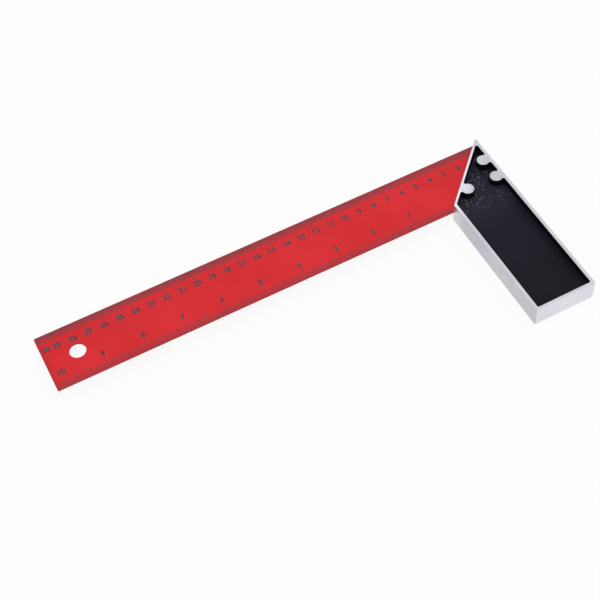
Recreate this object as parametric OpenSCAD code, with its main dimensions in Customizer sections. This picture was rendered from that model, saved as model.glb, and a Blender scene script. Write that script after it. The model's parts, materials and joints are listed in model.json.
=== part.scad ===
// Carpenter square: a painted steel blade riveted for good into the slot of a cast aluminium stock.
// It lies on its side. The origin is the heel, where the blade's outer edge meets the stock's outer
// face, on the plane that the square lies on. X runs along the blade to its free end, Y along the
// stock to its far end, and Z up through the thickness.

/* [Blade] */
// Length of the blade, from the stock's outer face to its free end
blade_len = 300; // [200:1:600]
// Width of the blade
blade_w = 40; // [36:1:60]
// Thickness of the steel strip
blade_t = 1.2; // [0.8:0.1:2]
// Diameter of the hang hole
hang_d = 10; // [6:0.5:16]
// Distance from the free end to the centre of the hang hole
hang_inset = 20; // [12:1:40]

/* [Stock] */
// Length of the stock, from the blade's outer edge to its far end
stock_len = 130; // [90:1:200]
// Width of the stock, from its outer face to its inner face
stock_w = 40; // [36:1:60]
// Thickness of the stock
stock_t = 14; // [11:0.5:24]
// Width of the rim round each sunk panel, along the stock's sides and far end
rim_w = 2; // [1.5:0.1:4]
// Width of the same rim along the mitre
mitre_rim_w = 1.5; // [1.2:0.1:2.5]
// Thickness of the web between the two sunk panels
web_t = 4; // [3:0.1:6]
// Angle by which the walls of the panel and the bosses lean, so that the casting leaves its mould
draft_angle = 3; // [1:0.5:8]
// Gap that the slot leaves on each face of the blade
slot_gap = 0.05; // [0:0.01:0.2]

/* [Rivets] */
// Diameter of the cast boss round each rivet, at its top
boss_d = 8; // [7.8:0.1:9]
// Diameter of the rivet's shank
shank_d = 5; // [3:0.1:6]
// Diameter of the rivet's ends, which fill a countersink in the boss
head_d = 7; // [6.5:0.1:7.4]
// Depth of the countersink
head_h = 1.4; // [0.5:0.1:1.8]
// Gap between a rivet and its bore, all round
rivet_gap = 0.03; // [0.01:0.01:0.1]
// Distance from the stock's outer face to the two rivets beside it
rivet_side = 5.5; // [5:0.1:8]
// Distance from the blade's inner edge to the two rivets nearest it
rivet_edge = 7; // [5:0.1:10]
// Distance between the two rivets beside the outer face
rivet_pitch = 15; // [11:0.5:18]
// Distance from the mitre to the rivet beside it, square to the mitre
rivet_mitre = 5; // [4.8:0.1:8]

/* [Hidden] */
$fn = 64;

// A cut runs this far past the surface that it opens
cut_over = 1;
// The mitre ends at the inner corner, where the blade's inner edge meets the stock's inner face
mitre_angle = 45;
mitre_y = blade_w - stock_w * tan(mitre_angle);
blade_z = (stock_t - blade_t) / 2;
panel_depth = (stock_t - web_t) / 2;
// How far a drafted wall leans out for each unit of its height
lean = tan(draft_angle);

outer_spot = [rivet_side, blade_w - rivet_edge];
corner_spot = outer_spot - [0, rivet_pitch];
inner_spot = [
    (outer_spot.y - mitre_y) / tan(mitre_angle) - rivet_mitre / sin(mitre_angle),
    outer_spot.y
];
rivet_spots = [corner_spot, outer_spot, inner_spot];

// Outline of the stock, from the heel along the mitre and round. It is drawn in by one distance from
// the sides and the far end, and by another from the mitre.
function stock_outline(inset, mitre_inset) =
    let (
        lift = mitre_y + mitre_inset / cos(mitre_angle),
        near = inset,
        far = stock_w - inset,
        end = stock_len - inset
    )
    [
        [near, near * tan(mitre_angle) + lift],
        [far, far * tan(mitre_angle) + lift],
        [far, end],
        [near, end]
    ];

// All the space above a panel's floor on the inner side of the wall from a to b. The wall leans out
// by the draft, from the floor to the rim's edge.
module wall_space(a, b) {
    reach = stock_len + stock_w;
    translate(a)
        rotate(atan2(b.y - a.y, b.x - a.x))
            translate([-reach, 0, 0])
                rotate([90, 0, 90])
                    linear_extrude(2 * reach)
                        polygon([
                            [panel_depth * lean, 0],
                            [reach, 0],
                            [reach, panel_depth + cut_over],
                            [-cut_over * lean, panel_depth + cut_over]
                        ]);
}

// Round boss from below the floor of a panel to above its rim, with the same draft
module boss() {
    translate([0, 0, -cut_over])
        cylinder(
            d1 = boss_d + 2 * (panel_depth + cut_over) * lean,
            d2 = boss_d - 2 * cut_over * lean,
            h = panel_depth + 2 * cut_over
        );
}

// Space of one sunk panel, from its floor at Z 0 upwards, with the three bosses standing in it
module sunk_panel() {
    points = stock_outline(rim_w, mitre_rim_w);
    difference() {
        intersection_for (i = [0 : len(points) - 1])
            wall_space(points[i], points[(i + 1) % len(points)]);
        for (spot = rivet_spots)
            translate(spot)
                boss();
    }
}

// Slot from the mitre to the outer face, as deep as the blade is wide
module blade_slot() {
    translate([-cut_over, mitre_y - cut_over, blade_z - slot_gap])
        cube([
            stock_w + 2 * cut_over,
            blade_w - mitre_y + cut_over,
            blade_t + 2 * slot_gap
        ]);
}

// Solid rivet through the whole thickness, its two ends spread into countersinks. With a gap it is
// the bore that the rivet fills.
module rivet_form(spot, gap = 0) {
    r = shank_d / 2 + gap;
    head_r = head_d / 2 + gap;
    translate(spot)
        rotate_extrude()
            polygon([
                [0, 0],
                [head_r, 0],
                [r, head_h],
                [r, stock_t - head_h],
                [head_r, stock_t],
                [0, stock_t]
            ]);
}

module stock() {
    difference() {
        color("gainsboro")
            linear_extrude(stock_t)
                polygon(stock_outline(0, 0));
        color("black") {
            translate([0, 0, stock_t - panel_depth])
                sunk_panel();
            translate([0, 0, panel_depth])
                mirror([0, 0, 1])
                    sunk_panel();
        }
        color("silver") {
            blade_slot();
            for (spot = rivet_spots)
                rivet_form(spot, rivet_gap);
        }
    }
}

module blade() {
    color("crimson")
        difference() {
            translate([0, 0, blade_z])
                cube([blade_len, blade_w, blade_t]);
            translate([blade_len - hang_inset, blade_w / 2, blade_z - cut_over])
                cylinder(d = hang_d, h = blade_t + 2 * cut_over);
            for (spot = rivet_spots)
                rivet_form(spot, rivet_gap);
        }
}

module corner_rivet() {
    color("silver")
        rivet_form(corner_spot);
}

module outer_rivet() {
    color("silver")
        rivet_form(outer_spot);
}

module inner_rivet() {
    color("silver")
        rivet_form(inner_spot);
}

stock();
blade();
corner_rivet();
outer_rivet();
inner_rivet();
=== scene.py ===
import json
import math

import bmesh
import bpy
from mathutils import Matrix, Vector


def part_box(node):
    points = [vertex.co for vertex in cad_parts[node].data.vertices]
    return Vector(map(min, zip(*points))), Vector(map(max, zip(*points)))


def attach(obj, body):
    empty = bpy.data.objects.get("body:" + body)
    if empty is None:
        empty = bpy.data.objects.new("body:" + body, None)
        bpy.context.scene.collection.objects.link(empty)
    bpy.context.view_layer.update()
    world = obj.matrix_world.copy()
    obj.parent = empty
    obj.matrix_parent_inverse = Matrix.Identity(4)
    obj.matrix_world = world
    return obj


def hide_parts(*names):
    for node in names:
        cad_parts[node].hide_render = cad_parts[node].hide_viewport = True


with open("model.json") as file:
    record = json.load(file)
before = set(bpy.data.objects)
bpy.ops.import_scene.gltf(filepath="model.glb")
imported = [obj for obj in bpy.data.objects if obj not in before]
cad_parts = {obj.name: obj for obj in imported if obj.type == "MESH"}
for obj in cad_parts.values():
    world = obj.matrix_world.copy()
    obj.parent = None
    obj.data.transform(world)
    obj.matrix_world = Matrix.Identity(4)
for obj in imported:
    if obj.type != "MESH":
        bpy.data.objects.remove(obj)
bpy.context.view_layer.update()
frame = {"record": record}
bpy.context.scene.view_settings.view_transform = "Standard"

# Blade: one strip of cold-rolled steel, sheared to length and punched for a peg and three rivets.
# Its edges are tumbled smooth, and then it gets a coat of red baking enamel all over.
mm = 0.001
weld = 0.0001 * mm
round_steps = 36
corner_steps = round_steps // 4
edge_steps = 3
square_turn = math.radians(80)
crease_turn = math.radians(40)
blade_low, blade_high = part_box("blade")
blade_edge = 0.15 * mm
blade_corner = 0.8 * mm
hang_mount = next(m for m in frame["record"]["mounts"] if m["name"] == "hang_hole")
hang_spot = Vector(hang_mount["pos_m"]).to_2d()
hang_radius = hang_mount["dims"]["r_mm"] * mm
shank_radius = 2.5 * mm
rivet_gap = 0.03 * mm
rivet_spots = {}
for node in ("corner_rivet", "outer_rivet", "inner_rivet"):
    rivet_low, rivet_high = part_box(node)
    rivet_spots[node] = ((rivet_low + rivet_high) / 2).to_2d()


def verts_of(made):
    """The vertices among what an operator made."""
    return [item for item in made["geom"] if isinstance(item, bmesh.types.BMVert)]


def edges_at(bm, z):
    """The edges that lie at one height."""
    return [edge for edge in bm.edges if all(abs(vert.co.z - z) < weld for vert in edge.verts)]


def round_off(bm, geom, radius, steps, affect):
    """Rounds edges, or the corners of a flat ring of edges."""
    bmesh.ops.bevel(
        bm, geom=geom, offset=radius, offset_type="OFFSET", segments=steps, profile=0.5,
        affect=affect, material=-1,
    )


def put_in(name, data):
    """A new object in the scene, at the origin."""
    thing = bpy.data.objects.new(name, data)
    bpy.context.scene.collection.objects.link(thing)
    return thing


def finished(bm, name, *materials):
    """Closes a bmesh's seams and makes it an object. Its flats stay flat beside round edges."""
    bmesh.ops.remove_doubles(bm, verts=bm.verts, dist=weld)
    bmesh.ops.recalc_face_normals(bm, faces=bm.faces)
    for face in bm.faces:
        face.smooth = True
    mesh = bpy.data.meshes.new(name)
    bm.to_mesh(mesh)
    bm.free()
    mesh.set_sharp_from_angle(angle=crease_turn)
    for material in materials:
        mesh.materials.append(material)
    piece = put_in(name, mesh)
    piece.modifiers.new("flat_faces", "WEIGHTED_NORMAL").keep_sharp = True
    return piece


def plug(node, values):
    """Sets the sockets of a node, by name or number, to numbers, colours or wires."""
    for key, value in values.items():
        if isinstance(value, Wire):
            value.tree.links.new(value.socket, node.inputs[key])
        else:
            node.inputs[key].default_value = value


class Wire:
    """One output of a material's nodes. Sums on it add Math nodes, and node() adds any other."""

    def __init__(self, socket):
        self.socket = socket
        self.tree = socket.id_data

    def node(self, kind, settings, values, output=0):
        made = self.tree.nodes.new("ShaderNode" + kind)
        for name, value in settings.items():
            setattr(made, name, value)
        plug(made, values)
        return Wire(made.outputs[output])

    def maths(self, operation, *others):
        return self.node("Math", {"operation": operation}, dict(enumerate((self, *others))))

    def least(self, other):
        return self.maths("MINIMUM", other)

    def most(self, other):
        return self.maths("MAXIMUM", other)

    def ramp(self, low, high):
        """0 below low and 1 above high, with a soft step between them."""
        settings = {"interpolation_type": "SMOOTHSTEP"}
        return self.node("MapRange", settings, {"Value": self, "From Min": low, "From Max": high})

    def mix(self, first, second):
        """The first colour where this is 0, and the second where it is 1."""
        return self.node("Mix", {"data_type": "RGBA"}, {0: self, 6: first, 7: second}, 2)

    def noise(self, scale, detail=2.0):
        """Noise over a place, with a number of waves to the metre, or a number for each axis."""
        stretch = scale if isinstance(scale, tuple) else (scale, scale, scale)
        spread = self.node("Mapping", {}, {"Vector": self, "Scale": stretch})
        return self.node("TexNoise", {}, {"Vector": spread, "Scale": 1.0, "Detail": detail})

    def part(self, axis):
        """X, Y or Z of a place or a direction."""
        return self.node("SeparateXYZ", {}, {"Vector": self}, axis)

    def facing(self, axis):
        """How squarely the surface faces along an axis, either way: from 0 to 1."""
        return abs(self.node("NewGeometry", {}, {}, "Normal").part(axis))

    def bump(self, strength, depth):
        """The surface's direction, with this as its relief."""
        values = {"Strength": strength, "Distance": depth, "Height": self}
        return self.node("Bump", {}, values)

    def __add__(self, other):
        return self.maths("ADD", other)

    __radd__ = __add__

    def __sub__(self, other):
        return self.maths("SUBTRACT", other)

    def __rsub__(self, other):
        return self.node("Math", {"operation": "SUBTRACT"}, {0: other, 1: self})

    def __mul__(self, other):
        return self.maths("MULTIPLY", other)

    __rmul__ = __mul__

    def __abs__(self):
        return self.maths("ABSOLUTE")


def new_finish(name):
    """A material, its shader and the place on the piece that it paints."""
    material = bpy.data.materials.new(name)
    material.use_nodes = True
    nodes = material.node_tree.nodes
    place = Wire(nodes.new("ShaderNodeTexCoord").outputs["Object"])
    return material, nodes["Principled BSDF"], place


enamel_red = (0.745, 0.017, 0.025, 1)
enamel_deep = (0.690, 0.013, 0.020, 1)
# Darker enamel, used for painted shade on the side faces and for the darkening towards the edges.
enamel_shade_and_edge_dark = (0.430, 0.014, 0.022, 1)
scuff_red = (0.760, 0.065, 0.075, 1)
bare_steel = (0.30, 0.29, 0.29, 1)
edge_dark_start = 0.2 * mm
edge_dark_end = 2.2 * mm
edge_dark_ripple = 0.6 * mm
edge_dark_share = 0.55
outer_nearness = 0.55
chip_reach = 1.0 * mm
chip_edge = 0.05 * mm
peel_depth = 0.02 * mm
red_enamel, shader, place = new_finish("red_enamel")
along = place.part("X")
across = place.part("Y")
to_outer_edge = across - blade_low.y
to_inner_edge = blade_high.y - across
to_free_end = blade_high.x - along
to_edge = to_outer_edge.least(to_inner_edge).least(to_free_end)
# The side faces of the strip get painted shade.
side_face_shade = 1 - place.facing("Z").ramp(0.3, 0.8)
# The enamel gets darker towards the edges of its faces, reaching furthest in from the outer edge
# and the free end.
to_edge_weighted = (to_outer_edge.least(to_free_end) * outer_nearness).least(to_inner_edge)
edge_dark = 1 - (to_edge_weighted + (place.noise(160.0) - 0.5) * edge_dark_ripple).ramp(edge_dark_start, edge_dark_end)
clouds = place.noise(24.0, 3.0)
peel = place.noise(850.0, 1.0)
grain = place.noise(5200.0)
streaks = place.noise((26.0, 2600.0, 400.0), 3.0).ramp(0.66, 0.74)
scuffs = streaks * place.noise(45.0).ramp(0.50, 0.68)
chipped = 1 - (to_edge + (place.noise(700.0, 4.0) - 0.34) * chip_reach).ramp(0.0, chip_edge)
colour = clouds.ramp(0.34, 0.66).mix(enamel_deep, enamel_red)
# Painted shade on the side faces, and the enamel darker towards the edges of its faces.
colour = side_face_shade.most(edge_dark * edge_dark_share).mix(colour, enamel_shade_and_edge_dark)
colour = (scuffs * 0.35).mix(colour, scuff_red)
colour = chipped.mix(colour, bare_steel)
relief = peel * 0.7 + grain * 0.12 - scuffs * 0.15 - chipped * 0.8
plug(shader, {
    "Base Color": colour,
    "Metallic": chipped,
    "Roughness": 0.38 + grain * 0.10 + scuffs * 0.12,
    "Specular IOR Level": 0.25,
    "Normal": relief.bump(0.35, peel_depth),
})

strip = bmesh.new()
corners = [
    strip.verts.new((blade_low.x, blade_low.y, blade_low.z)),
    strip.verts.new((blade_high.x, blade_low.y, blade_low.z)),
    strip.verts.new((blade_high.x, blade_high.y, blade_low.z)),
    strip.verts.new((blade_low.x, blade_high.y, blade_low.z)),
]
for ends in zip(corners, corners[1:] + corners[:1]):
    strip.edges.new(ends)
round_off(strip, corners, blade_corner, corner_steps, "VERTICES")
punches = [(hang_spot, hang_radius)]
punches += [(spot, shank_radius + rivet_gap) for spot in rivet_spots.values()]
for spot, radius in punches:
    centre = Matrix.Translation((*spot, blade_low.z))
    bmesh.ops.create_circle(strip, radius=radius, segments=round_steps, matrix=centre)
bmesh.ops.triangle_fill(strip, use_beauty=True, edges=strip.edges)
upper = bmesh.ops.extrude_face_region(strip, geom=strip.faces[:])
bmesh.ops.translate(strip, verts=verts_of(upper), vec=(0, 0, blade_high.z - blade_low.z))
for z in (blade_low.z, blade_high.z):
    rims = [edge for edge in edges_at(strip, z) if edge.calc_face_angle() > square_turn]
    round_off(strip, rims, blade_edge, edge_steps, "EDGES")
blade_strip = finished(strip, "blade_strip", red_enamel)
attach(blade_strip, "root")
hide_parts("blade")

# Scales: a centimetre scale that starts at the stock's outer face, and an inch scale that starts
# at its inner face. They are screen printed in black ink on both faces of the blade, before it is
# riveted in.
stock_low, stock_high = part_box("stock")
ink_sunk = 0.01 * mm
ink_proud = 0.02 * mm
ink_depth = 0.01 * mm
line_width = 0.45 * mm
number_row = 10.9 * mm
number_aside = 0.5 * mm
last_number_in = 3.4 * mm
digit_height = 4.1 * mm
digit_narrowing = 0.98
digit_swell = 0.040
digit_steps = 3
mitre_clear = 0.1 * mm
centimetre = 10 * mm
inch = 25.4 * mm
centimetre_lines = ((10, 7.2 * mm), (5, 5.7 * mm), (1, 4.8 * mm))
inch_lines = ((16, 7.0 * mm), (8, 6.2 * mm), (4, 5.5 * mm), (2, 4.8 * mm), (1, 4.0 * mm))
ink_black = (0.035, 0.036, 0.046, 1)
ink_grey = (0.084, 0.084, 0.101, 1)
scale_ink, shader, place = new_finish("scale_ink")
rubbed = place.noise(900.0, 3.0).ramp(0.62, 0.72) * place.noise(60.0).ramp(0.48, 0.62)
colour = place.noise(300.0).mix(ink_black, ink_grey)
colour = (rubbed * 0.75).mix(colour, enamel_deep)
relief = place.noise(4200.0)
plug(shader, {
    "Base Color": colour,
    "Roughness": 0.46 + relief * 0.12,
    "Specular IOR Level": 0.2,
    "Normal": relief.bump(0.3, ink_depth),
})


def add_number(bm, text, spot, turn):
    """Adds a number in ink, turned to be read on one face, with its middle beside a spot."""
    letters = bpy.data.curves.new("number", "FONT")
    letters.body = text
    letters.resolution_u = digit_steps
    letters.extrude = 0.5
    letters.offset = digit_swell
    holder = put_in("number", letters)
    depsgraph = bpy.context.evaluated_depsgraph_get()
    mesh = bpy.data.meshes.new_from_object(holder.evaluated_get(depsgraph))
    low = Vector(min(v.co[axis] for v in mesh.vertices) for axis in range(3))
    high = Vector(max(v.co[axis] for v in mesh.vertices) for axis in range(3))
    tall = digit_height / (high.y - low.y)
    size = Matrix.Diagonal((tall * digit_narrowing, tall, ink_sunk + ink_proud, 1))
    beside_line = Matrix.Translation((number_aside, 0, 0))
    centred = size @ Matrix.Translation((low + high) / -2)
    mesh.transform(Matrix.Translation(spot) @ turn @ beside_line @ centred)
    bm.from_mesh(mesh)
    bpy.data.objects.remove(holder)
    bpy.data.curves.remove(letters)
    bpy.data.meshes.remove(mesh)


def print_scale(name, face, zero, step, lines, edge_y, inward, numbers):
    """Prints the lines and numbers of one scale on one face of the blade, clear of the mitre."""
    face_z, turn, outward = face
    ink_z = face_z + outward * (ink_proud - ink_sunk) / 2
    ink = bmesh.new()
    last = int((blade_high.x - line_width - zero) / step)
    for count in range(1, last + 1):
        length = next(length for every, length in lines if count % every == 0)
        line_y = edge_y + inward * (blade_edge + length / 2)
        middle = Matrix.Translation((zero + count * step, line_y, ink_z))
        size = Matrix.Diagonal((line_width, length, ink_sunk + ink_proud, 1))
        bmesh.ops.create_cube(ink, size=1, matrix=middle @ size)
    for text, x in numbers:
        add_number(ink, text, Vector((x, edge_y + inward * number_row, ink_z)), turn)
    bmesh.ops.remove_doubles(ink, verts=ink.verts, dist=weld)
    mitre = Vector((1, -1, 0)).normalized()
    bmesh.ops.bisect_plane(
        ink, geom=ink.verts[:] + ink.edges[:] + ink.faces[:],
        plane_co=mitre * mitre_clear, plane_no=mitre, clear_inner=True,
    )
    bmesh.ops.holes_fill(ink, edges=[edge for edge in ink.edges if edge.is_boundary])
    bmesh.ops.beautify_fill(ink, faces=ink.faces, edges=ink.edges, method="ANGLE")
    printed = finished(ink, name, scale_ink)
    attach(printed, "root")


centimetres = [(str(n), stock_low.x + n * centimetre) for n in range(2, 30)]
centimetres.append(("30", blade_high.x - last_number_in))
inches = [(str(n), stock_high.x + n * inch) for n in range(1, 11)]
blade_faces = {
    "front": (blade_high.z, Matrix.Rotation(math.pi, 4, "Z"), 1),
    "back": (blade_low.z, Matrix.Rotation(math.pi, 4, "X"), -1),
}
for side, face in blade_faces.items():
    print_scale(
        "centimetre_scale_" + side, face, zero=stock_low.x, step=centimetre / 10,
        lines=centimetre_lines, edge_y=blade_low.y, inward=1, numbers=centimetres,
    )
    print_scale(
        "inch_scale_" + side, face, zero=stock_high.x, step=inch / 16,
        lines=inch_lines, edge_y=blade_high.y, inward=-1, numbers=inches,
    )

# Stock: a thick aluminium die casting with a sunk panel on each side, and three bosses in it. The
# panels are sprayed black. Then the rims, sides and mitre are milled bright, and the slot is sawn.
edge_ease = 0.25 * mm
heel_round = 0.6 * mm
side_round = 0.5 * mm
rim_width = 2.0 * mm
mitre_rim = 1.5 * mm
web = 4.0 * mm
draft = math.radians(3)
panel_round = 1.0 * mm
floor_fillet = 0.65 * mm
fillet_steps = 5
arc_step = 2 * math.pi / round_steps
boss_radius = 4.0 * mm
head_radius = 3.5 * mm
head_depth = 1.4 * mm
slot_gap = 0.05 * mm
stock_mid = (stock_low.z + stock_high.z) / 2
slot_top = blade_high.z + slot_gap
panel_floor = stock_mid + web / 2

milled_light = (0.615, 0.615, 0.665, 1)
milled_dull = (0.530, 0.530, 0.575, 1)
# Lighter tones of the same aluminium, for painted highlights.
highlit_light = (0.810, 0.810, 0.870, 1)
highlit_dull = (0.720, 0.720, 0.775, 1)
pore_grey = (0.26, 0.26, 0.28, 1)
mitre_near = 1 * mm
mitre_far = 10 * mm
heel_near = 3 * mm
heel_far = 9 * mm
mill_depth = 0.012 * mm


def milled_last(place):
    """1 beside the mitre, where the metal gets a painted highlight, and 0 far off or at the heel.
    """
    from_mitre = (place.part("Y") - place.part("X")) * math.sqrt(0.5)
    from_heel = place.part("X")
    return (1 - from_mitre.ramp(mitre_near, mitre_far)) * from_heel.ramp(heel_near, heel_far)


milled_aluminium, shader, place = new_finish("milled_aluminium")
end_on = place.facing("Y").ramp(0.80, 0.95)
long_marks = place.noise((2600.0, 22.0, 2600.0), 3.0)
cross_marks = place.noise((22.0, 2600.0, 2600.0), 3.0)
marks = long_marks * (1 - end_on) + cross_marks * end_on
tarnish = place.noise(55.0, 3.0)
pores = place.noise(1500.0, 1.0).ramp(0.72, 0.78)
shine = (tarnish * 0.5 + marks * 0.5).ramp(0.30, 0.70)
# The end face and the metal beside the mitre get a painted highlight: a lighter tone of the same
# aluminium.
painted_highlight = end_on.most(milled_last(place))
colour = painted_highlight.mix(shine.mix(milled_dull, milled_light), shine.mix(highlit_dull, highlit_light))
colour = (pores * 0.6).mix(colour, pore_grey)
relief = marks * 0.5 - pores * 0.8
plug(shader, {
    "Base Color": colour,
    "Metallic": 1.0,
    "Roughness": 0.34 + marks * 0.16 + pores * 0.2,
    "Normal": relief.bump(0.4, mill_depth),
})

panel_dark = (0.0054, 0.0046, 0.0092, 1)
panel_blue = (0.0074, 0.0056, 0.0155, 1)
panel_worn = (0.0190, 0.0170, 0.0320, 1)
panel_shade = (0.0036, 0.0032, 0.0054, 1)
speck_grey = (0.11, 0.11, 0.13, 1)
lip_top = 0.06 * mm
lip_foot = 0.16 * mm
lip_ripple = 0.5 * mm
side_wear = 0.55 * mm
side_near = 2.5 * mm
side_far = 3.2 * mm
worn_from = 8 * mm
worn_most = 42 * mm
worn_to = 66 * mm
specks_from = 42 * mm
specks_to = 54 * mm
blue_from = 75 * mm
blue_to = 110 * mm
sand_depth = 0.03 * mm
panel_black, shader, place = new_finish("panel_black")
along = place.part("Y")
across = place.part("X")
height = abs(place.part("Z") - stock_mid)
half_height = stock_high.z - stock_mid
to_side = (across - stock_low.x).least(stock_high.x - across).least(stock_high.y - along)
beside_rim = 1 - to_side.ramp(side_near, side_far)
rub = (place.noise(900.0, 3.0) - 0.5) * lip_ripple + beside_rim * side_wear
rubbed_lip = (height + rub).ramp(half_height - lip_foot, half_height - lip_top)
sand = place.noise(1500.0, 2.0)
clouds = place.noise(38.0, 3.0)
blue_cast = 1 - along.ramp(blue_from, blue_to)
near_head = along.ramp(worn_from, worn_most) * (1 - along.ramp(worn_most, worn_to))
specks = place.noise(620.0, 1.0).ramp(0.57, 0.70) * (1 - along.ramp(specks_from, specks_to))
steep = 1 - place.facing("Z").ramp(0.5, 1.0)
worn = clouds.ramp(0.35, 0.70) * 0.15 + near_head * 0.80
colour = blue_cast.mix(panel_dark, panel_blue)
colour = worn.mix(colour, panel_worn)
colour = (specks * 0.6).mix(colour, speck_grey)
# The steep walls of the panels get painted shade.
colour = steep.mix(colour, panel_shade)
colour = rubbed_lip.mix(colour, milled_light)
relief = sand * 0.8 + specks * 0.4
plug(shader, {
    "Base Color": colour,
    "Metallic": rubbed_lip,
    "Roughness": 0.42 + sand * 0.16 - rubbed_lip * 0.1,
    "Specular IOR Level": 0.11,
    "Normal": relief.bump(0.5, sand_depth),
})


def heading(vector):
    """Angle of a flat vector, anticlockwise from X."""
    return math.atan2(vector.y, vector.x)


def rounded(corners, radius):
    """Arcs that round an anticlockwise outline's corners: centre, radius, first angle and sweep."""
    arcs = []
    for before, corner, after in zip(corners[-1:] + corners, corners, corners[1:] + corners[:1]):
        into = (corner - before).normalized()
        onward = (after - corner).normalized()
        side = Vector((into.y, -into.x))
        next_side = Vector((onward.y, -onward.x))
        centre = corner - radius * (side + next_side) / (1 + side.dot(next_side))
        arcs.append((centre, radius, heading(side), side.angle(next_side)))
    return arcs


def beside_boss(spot, wall_start, wall_end):
    """Arcs of an outline where a boss stands out of a wall: into its neck, round it and out."""
    along = (wall_end - wall_start).normalized()
    outward = Vector((along.y, -along.x))
    gap = (wall_start - spot).dot(outward) - panel_round
    side = math.sqrt((boss_radius + panel_round) ** 2 - gap ** 2)
    out = heading(outward)
    swing = math.atan2(side, gap)
    return [
        (spot + outward * gap - along * side, panel_round, out, math.pi - swing),
        (spot, boss_radius, out - swing, 2 * swing - 2 * math.pi),
        (spot + outward * gap + along * side, panel_round, out + swing - math.pi, math.pi - swing),
    ]


def lay_outline(bm, arcs, z, outset=0.0):
    """Ring of edges at one height. Each arc is spun from its first point and joined to the next."""
    known = set(bm.verts)
    ends = []
    for centre, radius, first, sweep in arcs:
        reach = radius + math.copysign(outset, sweep)
        spot = centre + reach * Vector((math.cos(first), math.sin(first)))
        start = end = bm.verts.new((*spot, z))
        if sweep:
            steps = math.ceil(round(abs(sweep) / arc_step, 6))
            spun = bmesh.ops.spin(
                bm, geom=[start], cent=(*centre, z), axis=(0, 0, 1), angle=sweep, steps=steps,
            )
            end = spun["geom_last"][0]
        ends.append((start, end))
    for (_, before), (after, _) in zip(ends, ends[1:] + ends[:1]):
        bm.edges.new((before, after))
    laid = [vert for vert in bm.verts if vert not in known]
    bmesh.ops.remove_doubles(bm, verts=laid, dist=weld)
    return [edge for edge in bm.edges if edge.verts[0] not in known]


def draw_in(bm, ring, profile):
    """Fills a ring and draws the flat face in by steps. Gives that face and the walls it leaves."""
    face = bmesh.ops.contextual_create(bm, geom=ring)["faces"][0]
    walls = []
    for (inset, z), (next_inset, next_z) in zip(profile, profile[1:]):
        walls += bmesh.ops.inset_region(
            bm, faces=[face], thickness=next_inset - inset, use_boundary=True, use_even_offset=True,
        )["faces"]
        bmesh.ops.translate(bm, verts=face.verts, vec=(0, 0, next_z - z))
    return face, walls


def extend(bm, edges, rise):
    """Draws a straight wall up or down from edges."""
    drawn = bmesh.ops.extrude_edge_only(bm, edges=edges)
    bmesh.ops.translate(bm, verts=verts_of(drawn), vec=(0, 0, rise))


def turn_round(bm, spot, profile):
    """Spins a profile of reaches and heights all the way round a spot."""
    verts = [bm.verts.new((spot.x + reach, spot.y, z)) for reach, z in profile]
    edges = [bm.edges.new(ends) for ends in zip(verts, verts[1:])]
    bmesh.ops.spin(
        bm, geom=verts + edges, cent=(*spot, 0), axis=(0, 0, 1),
        angle=2 * math.pi, steps=round_steps, use_merge=True,
    )


stock_corners = [
    Vector((stock_low.x, stock_low.y)),
    Vector((stock_high.x, blade_high.y)),
    Vector((stock_high.x, stock_high.y)),
    Vector((stock_low.x, stock_high.y)),
]
heel_arc = rounded(stock_corners, heel_round)[0]
corner_arc, end_arc, back_arc = rounded(stock_corners, side_round)[1:]
slot_end = corner_arc[0].y
slot_stop = (Vector((stock_low.x, slot_end)), 0, 0, 0)
rim_near = stock_low.x + rim_width
rim_far = stock_high.x - rim_width
rim_end = stock_high.y - rim_width
mitre_lift = stock_low.y - stock_low.x + mitre_rim * math.sqrt(2)
rim_corners = [
    Vector((rim_near, rim_near + mitre_lift)),
    Vector((rim_far, rim_far + mitre_lift)),
    Vector((rim_far, rim_end)),
    Vector((rim_near, rim_end)),
]
heel_in, corner_in, end_in, back_in = rounded(rim_corners, panel_round)
panel_arcs = [
    heel_in,
    *beside_boss(rivet_spots["inner_rivet"], rim_corners[0], rim_corners[1]),
    corner_in,
    end_in,
    back_in,
    *beside_boss(rivet_spots["outer_rivet"], rim_corners[3], rim_corners[0]),
    *beside_boss(rivet_spots["corner_rivet"], rim_corners[3], rim_corners[0]),
]
turns = [math.pi / 2 * step / edge_steps for step in range(edge_steps + 1)]
ease_foot = stock_high.z - edge_ease
rim_profile = [
    (edge_ease * (1 - math.cos(turn)), ease_foot + edge_ease * math.sin(turn)) for turn in turns
]
panel_profile = [
    (edge_ease * (math.sin(turn) - 1), ease_foot + edge_ease * math.cos(turn)) for turn in turns
]
fillet_z = panel_floor + floor_fillet
fillet_inset = (stock_high.z - fillet_z) * math.tan(draft) + floor_fillet / math.cos(draft)
for step in range(fillet_steps + 1):
    turn = draft + (math.pi / 2 - draft) * step / fillet_steps
    inset = fillet_inset - floor_fillet * math.cos(turn)
    panel_profile.append((inset, fillet_z - floor_fillet * math.sin(turn)))
bore_profile = [
    (head_radius + rivet_gap, stock_high.z),
    (shank_radius + rivet_gap, stock_high.z - head_depth),
    (shank_radius + rivet_gap, slot_top),
]

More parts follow.
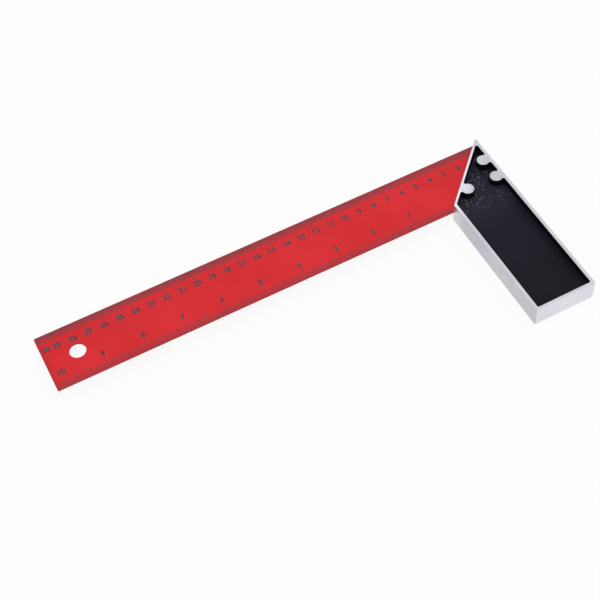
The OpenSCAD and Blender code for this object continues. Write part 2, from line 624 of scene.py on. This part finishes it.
casting = bmesh.new()
sides = lay_outline(casting, [heel_arc, corner_arc, end_arc, back_arc, slot_stop], slot_top)
extend(casting, sides, ease_foot - slot_top)
top, _ = draw_in(casting, edges_at(casting, ease_foot), rim_profile)
bmesh.ops.delete(casting, geom=[top], context="FACES_ONLY")
lip = lay_outline(casting, panel_arcs, stock_high.z, edge_ease)
panel, walls = draw_in(casting, lip, panel_profile)
for face in [panel, *walls]:
    face.material_index = 1
for spot in rivet_spots.values():
    turn_round(casting, spot, bore_profile)
bmesh.ops.triangle_fill(casting, use_beauty=True, edges=edges_at(casting, stock_high.z))
slot_line = [
    vert for vert in casting.verts
    if abs(vert.co.y - slot_end) < weld and abs(vert.co.z - slot_top) < weld
]
casting.edges.new(slot_line)
slot_edges = edges_at(casting, slot_top)
in_slot = [edge for edge in slot_edges if all(v.co.y < slot_end + weld for v in edge.verts)]
beyond = [edge for edge in slot_edges if all(v.co.y > slot_end - weld for v in edge.verts)]
bmesh.ops.triangle_fill(casting, use_beauty=True, edges=in_slot)
extend(casting, beyond, stock_mid - slot_top)
bmesh.ops.mirror(
    casting, geom=casting.verts[:] + casting.edges[:] + casting.faces[:],
    matrix=Matrix.Translation((0, 0, -stock_mid)), merge_dist=weld, axis="Z",
)
stock_casting = finished(casting, "stock_casting", milled_aluminium, panel_black)
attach(stock_casting, "root")
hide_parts("stock")

# Rivets: three solid aluminium rivets through the bosses and the blade. Each end is spread into its
# countersink, then ground off level with the rim. A fine ring shows where it meets the boss.
rivet_ease = 0.12 * mm
head_taper = (head_radius - shank_radius) / head_depth
ring_rate = 9000.0
grind_depth = 0.015 * mm


def ground_metal(name, spot):
    """Bright ground aluminium, with faint rings round the middle of one rivet, and a painted
    highlight towards the mitre.
    """
    material, shader, place = new_finish(name)
    centred = place.node("Mapping", {}, {"Vector": place, "Location": (-spot.x, -spot.y, 0)})
    from_middle = centred.node("VectorMath", {"operation": "LENGTH"}, {0: centred}, 1)
    grit = place.noise((300.0, 3200.0, 300.0), 3.0)
    rings = (from_middle * ring_rate).maths("SINE") * 0.5 + 0.5
    bruise = place.noise(420.0, 2.0)
    marks = grit * 0.7 + rings * 0.1 + bruise * 0.2
    shine = marks.ramp(0.36, 0.82)
    # The rivets beside the mitre get a painted highlight, a lighter tone of the same aluminium.
    dulled, highlit_tone = shine.mix(milled_dull, milled_light), shine.mix(highlit_dull, highlit_light)
    relief = marks * 0.6 + bruise * 0.4
    plug(shader, {
        "Base Color": milled_last(place).mix(dulled, highlit_tone),
        "Metallic": 1.0,
        "Roughness": 0.32 + grit * 0.16,
        "Normal": relief.bump(0.4, grind_depth),
    })
    return material


for node, spot in rivet_spots.items():
    rivet_low, rivet_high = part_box(node)
    half_profile = [
        (0, rivet_high.z),
        (head_radius - rivet_ease, rivet_high.z),
        (head_radius - rivet_ease * head_taper, rivet_high.z - rivet_ease),
        (shank_radius, rivet_high.z - head_depth),
    ]
    ends_z = rivet_low.z + rivet_high.z
    pin = bmesh.new()
    turn_round(pin, spot, half_profile + [(reach, ends_z - z) for reach, z in half_profile[::-1]])
    rivet = finished(pin, node + "_pin", ground_metal(node + "_metal", spot))
    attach(rivet, "root")
    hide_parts(node)

# Floor: a wide sheet of white paper under the square. The eye and reflections see it close to
# white, and it still takes the square's soft shadow.
floor_reach = 12.0
white = (1, 1, 1, 1)
paper_white = (0.95, 0.95, 0.95, 1)
shadow_share = 0.10
sheet = bmesh.new()
bmesh.ops.create_grid(sheet, x_segments=1, y_segments=1, size=floor_reach)
floor_mesh = bpy.data.meshes.new("paper_floor")
sheet.to_mesh(floor_mesh)
sheet.free()
paper_floor = put_in("paper_floor", floor_mesh)
paper = bpy.data.materials.new("white_paper")
paper.use_nodes = True


def seen_directly(tree):
    """1 for what the eye, a reflection or clear glass sees, and 0 for light on the square."""
    path = tree.nodes.new("ShaderNodeLightPath")
    camera = Wire(path.outputs["Is Camera Ray"])
    glossy = Wire(path.outputs["Is Glossy Ray"])
    through = Wire(path.outputs["Is Transmission Ray"])
    return camera.most(glossy).most(through)


shader = paper.node_tree.nodes["Principled BSDF"]
plug(shader, {"Base Color": paper_white, "Roughness": 1.0, "Specular IOR Level": 0.0})
seen = seen_directly(paper.node_tree)
glow = seen.node("Emission", {}, {"Color": white, "Strength": 1.0})
share = seen * (1 - shadow_share)
both = seen.node("MixShader", {}, {0: share, 1: Wire(shader.outputs["BSDF"]), 2: glow})
plug(paper.node_tree.nodes["Material Output"], {"Surface": both})
floor_mesh.materials.append(paper)

# Light: a white room that lights the square evenly from all sides, with one broad soft lamp above
# it. The eye and reflections see the room as plain white.
room_level = 0.77
lamp_size = 2.0
lamp_power = 3.5
lamp_spot = Vector((0.05, 0.35, 1.15))
lamp_aim = Vector((0.12, 0.05, 0.0))
room = bpy.data.worlds.new("white_room")
room.use_nodes = True
backdrop = room.node_tree.nodes["Background"]
plug(backdrop, {"Color": white, "Strength": room_level})
seen = seen_directly(room.node_tree)
glow = seen.node("Background", {}, {"Color": white, "Strength": 1.0})
both = seen.node("MixShader", {}, {0: seen, 1: Wire(backdrop.outputs["Background"]), 2: glow})
plug(room.node_tree.nodes["World Output"], {"Surface": both})
bpy.context.scene.world = room


def aimed(spot, aim):
    """Place and turn of a lamp or a camera that stands at one spot and points at another."""
    turn = (aim - spot).to_track_quat("-Z", "Y")
    return Matrix.Translation(spot) @ turn.to_matrix().to_4x4()


lamp = bpy.data.lights.new("soft_lamp", "AREA")
lamp.shape = "DISK"
lamp.size = lamp_size
lamp.energy = lamp_power
put_in("soft_lamp", lamp).matrix_world = aimed(lamp_spot, lamp_aim)

# Camera: stands on the inner side of the square and looks down on it, so that the blade runs off to
# the left and the stock comes towards the lower right.
camera_spot = Vector((320.5, 452.0, 614.7)) * mm
camera_aim = Vector((151.9, 51.7, 7.0)) * mm
camera_roll = math.radians(-5.61)
film_width = 36.0
focal_length = 76.47
nearest_seen = 10 * mm
lens = bpy.data.cameras.new("camera")
lens.sensor_width = film_width
lens.lens = focal_length
lens.clip_start = nearest_seen
camera = put_in("camera", lens)
camera.matrix_world = aimed(camera_spot, camera_aim) @ Matrix.Rotation(camera_roll, 4, "Z")
bpy.context.scene.camera = camera
